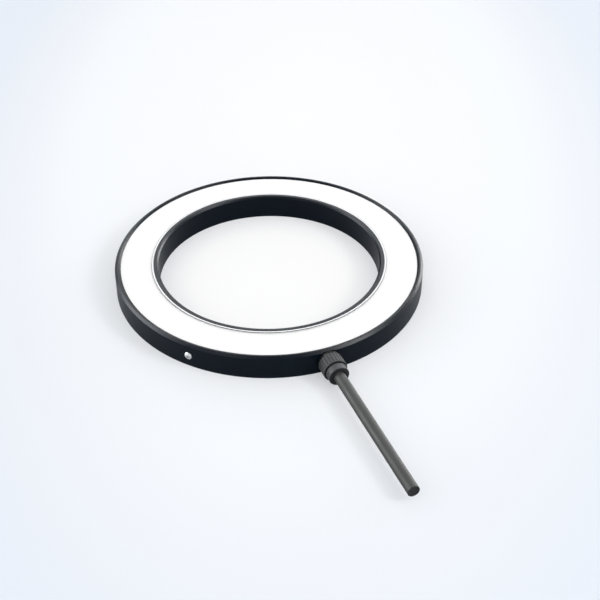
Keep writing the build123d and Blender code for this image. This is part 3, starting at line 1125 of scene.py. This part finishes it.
def chipBlack():
    return makeFinish("chipBlack", {
        "tones": [(0.018, 0.018, 0.019), (0.026, 0.026, 0.027)],
        "handling": {"Scale": 900.0, "Smooth": 0.45, "Rough": 0.6},
        "grainScale": 12000.0,
        "relief": 0.3,
    })


def clearAcrylic():
    return makeFinish("clearAcrylic", {
        "tones": [(0.93, 0.96, 0.96), (0.96, 0.98, 0.98)],
        "handling": {"Scale": 60.0, "Smooth": 0.03, "Rough": 0.08},
        "grainScale": 900.0,
        "relief": 0.03,
        "shader": {"Transmission Weight": 1.0, "IOR": 1.49},
    })


def whiteFilm():
    return makeFinish("whiteFilm", {
        "tones": [(0.86, 0.86, 0.86), (0.90, 0.90, 0.90)],
        "handling": {"Scale": 100.0, "Smooth": 0.6, "Rough": 0.7},
        "grainScale": 5000.0,
        "relief": 0.2,
    })


def greenBoard():
    return makeFinish("greenBoard", {
        "tones": [(0.010, 0.085, 0.030), (0.016, 0.12, 0.042)],
        "handling": {"Scale": 400.0, "Smooth": 0.25, "Rough": 0.38},
        "grainScale": 9000.0,
        "relief": 0.2,
    })


def tinnedCopper():
    return makeFinish("tinnedCopper", {
        "tones": [(0.60, 0.59, 0.56), (0.70, 0.69, 0.66)],
        "handling": {"Scale": 900.0, "Smooth": 0.25, "Rough": 0.4},
        "grainScale": 9000.0,
        "relief": 0.3,
        "shader": {"Metallic": 1.0},
    })


def redInsulation():
    return makeFinish("redInsulation", {
        "tones": [(0.42, 0.020, 0.015), (0.50, 0.030, 0.022)],
        "handling": {"Scale": 300.0, "Smooth": 0.35, "Rough": 0.45},
        "drawn": {"Scale": 5000.0, "Length": 60.0},
        "grainScale": 8000.0,
        "relief": 0.2,
    })


def blackInsulation():
    return makeFinish("blackInsulation", {
        "tones": [(0.012, 0.012, 0.012), (0.018, 0.018, 0.018)],
        "handling": {"Scale": 300.0, "Smooth": 0.35, "Rough": 0.45},
        "drawn": {"Scale": 5000.0, "Length": 60.0},
        "grainScale": 8000.0,
        "relief": 0.2,
    })


finishes = {
    "black_anodised": blackAnodised(),
    "bare_aluminium": bareAluminium(),
    "thermal_tape": thermalTape(),
    "white_mask": whiteMask(),
    "led_package": ledPackage(),
    "phosphor": phosphor(),
    "chip_black": chipBlack(),
    "clear_acrylic": clearAcrylic(),
    "white_film": whiteFilm(),
    "opal_acrylic": opalAcrylic(),
    "white_acetal": whiteAcetal(),
    "stainless_steel": stainlessSteel(),
    "green_board": greenBoard(),
    "tinned_copper": tinnedCopper(),
    "red_insulation": redInsulation(),
    "black_insulation": blackInsulation(),
    "black_rubber": blackRubber(),
    "black_nylon": blackNylon(),
    "grey_nylon": greyNylon(),
    "cable_sheath": cableSheathing(),
}

for node in frame["nodes"].values():
    for slot in node.material_slots:
        slot.material = finishes[slot.material.name.split(".")[0]]
ringPieces = [ringHousing, lightDiffuser, diffuserRing, ringBead, *sideScrews]
glandPieces = [glandGasket, glandBody, glandNut, cableSheath, cableEnd]
for piece in ringPieces + glandPieces:
    piece.data.materials.clear()
    piece.data.materials.append(finishes[piece["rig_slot"]])
cableEnd.data.materials[0] = cutSheathing()
print("finishes made:", len(finishes))

# Pale floor: white about the ring, cooler away from it in long soft ovals; inside the bore it is
# painted light, whiter still and with more of its colour shown unshaded, which lifts the ring's shade
# there.
# ownLight, boreLight and mirroredLight are the shares of its colour that show unshaded:
# to the camera, to the camera inside the bore, and in gloss and glass
floor = {
    "halfSize": 6.0,
    "centre": (0.059, 0.111, 0.0),
    "turn": 22.0,
    "stretch": 2.2,
    "reach": 0.2,
    "tones": [
        (0.0, (0.980, 0.988, 1.0)),
        (0.06, (0.955, 0.966, 0.996)),
        (0.10, (0.938, 0.963, 0.994)),
        (0.126, (0.878, 0.904, 0.958)),
        (0.155, (0.818, 0.872, 0.946)),
        (0.19, (0.815, 0.868, 0.946)),
    ],
    "boreFade": (0.03, 0.043),
    "boreWhite": 0.95,
    "ownLight": 0.42,
    "boreLight": 0.62,
    "mirroredLight": 0.2,
}


# How far a floor point lies from the gradient's middle, in metres across the ovals
def floorDistance(tree):
    middle = Vector(floor["centre"])
    turn = math.radians(floor["turn"])
    ahead = Vector((math.sin(turn), math.cos(turn), 0)) / floor["stretch"]
    across = Vector((math.cos(turn), -math.sin(turn), 0))
    away = addNode(tree, "VectorMath", {0: objectPlace(tree), 1: middle}, operation="SUBTRACT")
    parts = []
    for direction in (ahead, across):
        values = {0: away.outputs[0], 1: direction}
        part = addNode(tree, "VectorMath", values, operation="DOT_PRODUCT")
        parts.append(calc(tree, "POWER", calc(tree, "ABSOLUTE", part.outputs["Value"]), 2.0))
    return calc(tree, "SQRT", calc(tree, "ADD", *parts))


def makeFloor():
    half = floor["halfSize"]
    mesh = bpy.data.meshes.new("floor")
    corners = [(-half, -half, 0), (half, -half, 0), (half, half, 0), (-half, half, 0)]
    mesh.from_pydata(corners, [], [(0, 1, 2, 3)])
    piece = bpy.data.objects.new("floor", mesh)
    bpy.context.scene.collection.objects.link(piece)
    material = bpy.data.materials.new("paleFloor")
    material.use_nodes = True
    material.cycles.emission_sampling = "NONE"
    tree = material.node_tree
    tree.nodes.clear()
    ramp = addNode(tree, "ValToRGB", {0: stretch(tree, floorDistance(tree), 0.0, floor["reach"])})
    stops = ramp.color_ramp.elements
    for k, (distance, tone) in enumerate(floor["tones"]):
        stop = stops[k] if k < 2 else stops.new(1.0)
        stop.position = distance / floor["reach"]
        stop.color = (*tone, 1)
    fromAxis = addNode(tree, "VectorMath", {0: objectPlace(tree)}, operation="LENGTH").outputs["Value"]
    # Painted light inside the bore: the floor's colour turns whiter there, lifting the ring's shade
    inside = stretch(tree, fromAxis, *floor["boreFade"], floor["boreWhite"], 0.0)
    tone = mixColour(tree, inside, ramp.outputs[0], (1, 1, 1, 1))
    matt = addNode(tree, "BsdfDiffuse", {"Color": tone})
    glow = addNode(tree, "Emission", {"Color": tone, "Strength": 1.0})
    ray = addNode(tree, "LightPath").outputs
    mirrored = calc(tree, "MAXIMUM", ray["Is Glossy Ray"], ray["Is Transmission Ray"])
    # Painted light: a larger unshaded share inside the bore washes out the ring's shade there
    shown = stretch(tree, fromAxis, *floor["boreFade"], floor["boreLight"], floor["ownLight"])
    seenShare = calc(tree, "MULTIPLY", ray["Is Camera Ray"], shown)
    mirroredShare = calc(tree, "MULTIPLY", mirrored, floor["mirroredLight"])
    share = calc(tree, "MAXIMUM", seenShare, mirroredShare)
    both = addNode(tree, "MixShader", {0: share, 1: matt.outputs[0], 2: glow.outputs[0]})
    addNode(tree, "OutputMaterial", {"Surface": both.outputs[0]})
    mesh.materials.append(material)


# Soft boxes round the ring: compass turn from +Y and lift above the floor in degrees,
# width and height in metres, and how bright each looks in a glossy surface
softBoxes = {
    "left": {"turn": -60, "lift": 21, "size": (0.95, 1.2), "bright": 27.5},
    "back": {"turn": 21, "lift": 38, "size": (1.05, 0.34), "bright": 20.5},
    "right": {"turn": 67, "lift": 11, "size": (0.55, 0.5), "bright": 50.0},
    "front": {"turn": 134, "lift": 38, "size": (0.42, 0.42), "bright": 108.0},
    "near": {"turn": -128, "lift": 38, "size": (0.36, 0.36), "bright": 17.0},
}
studio = {"distance": 1.5, "mattShare": 0.11, "worldLight": 0.745}


# One lamp for gloss and a weaker one for matt surfaces, so that white stays under clipping
def makeSoftBox(name, box):
    turn, lift = math.radians(box["turn"]), math.radians(box["lift"])
    towards = Vector((math.sin(turn) * math.cos(lift), math.cos(turn) * math.cos(lift), math.sin(lift)))
    watts = box["bright"] * math.pi * box["size"][0] * box["size"][1]
    for kind, share in (("Gloss", 1.0), ("Matt", studio["mattShare"])):
        data = bpy.data.lights.new(name + kind, "AREA")
        data.shape = "RECTANGLE"
        data.size, data.size_y = box["size"]
        data.energy = watts * share
        lamp = bpy.data.objects.new(name + kind, data)
        lamp.location = towards * studio["distance"]
        lamp.rotation_euler = (-towards).to_track_quat("-Z", "Y").to_euler()
        lamp.visible_diffuse = kind == "Matt"
        lamp.visible_glossy = kind == "Gloss"
        bpy.context.scene.collection.objects.link(lamp)


def makeWorld():
    world = bpy.data.worlds.new("studio")
    world.use_nodes = True
    background = world.node_tree.nodes["Background"]
    background.inputs["Color"].default_value = (1, 1, 1, 1)
    background.inputs["Strength"].default_value = studio["worldLight"]
    bpy.context.scene.world = world


makeFloor()
for name, box in softBoxes.items():
    makeSoftBox(name, box)
makeWorld()
bpy.context.scene.view_settings.view_transform = "Standard"
print("studio made")
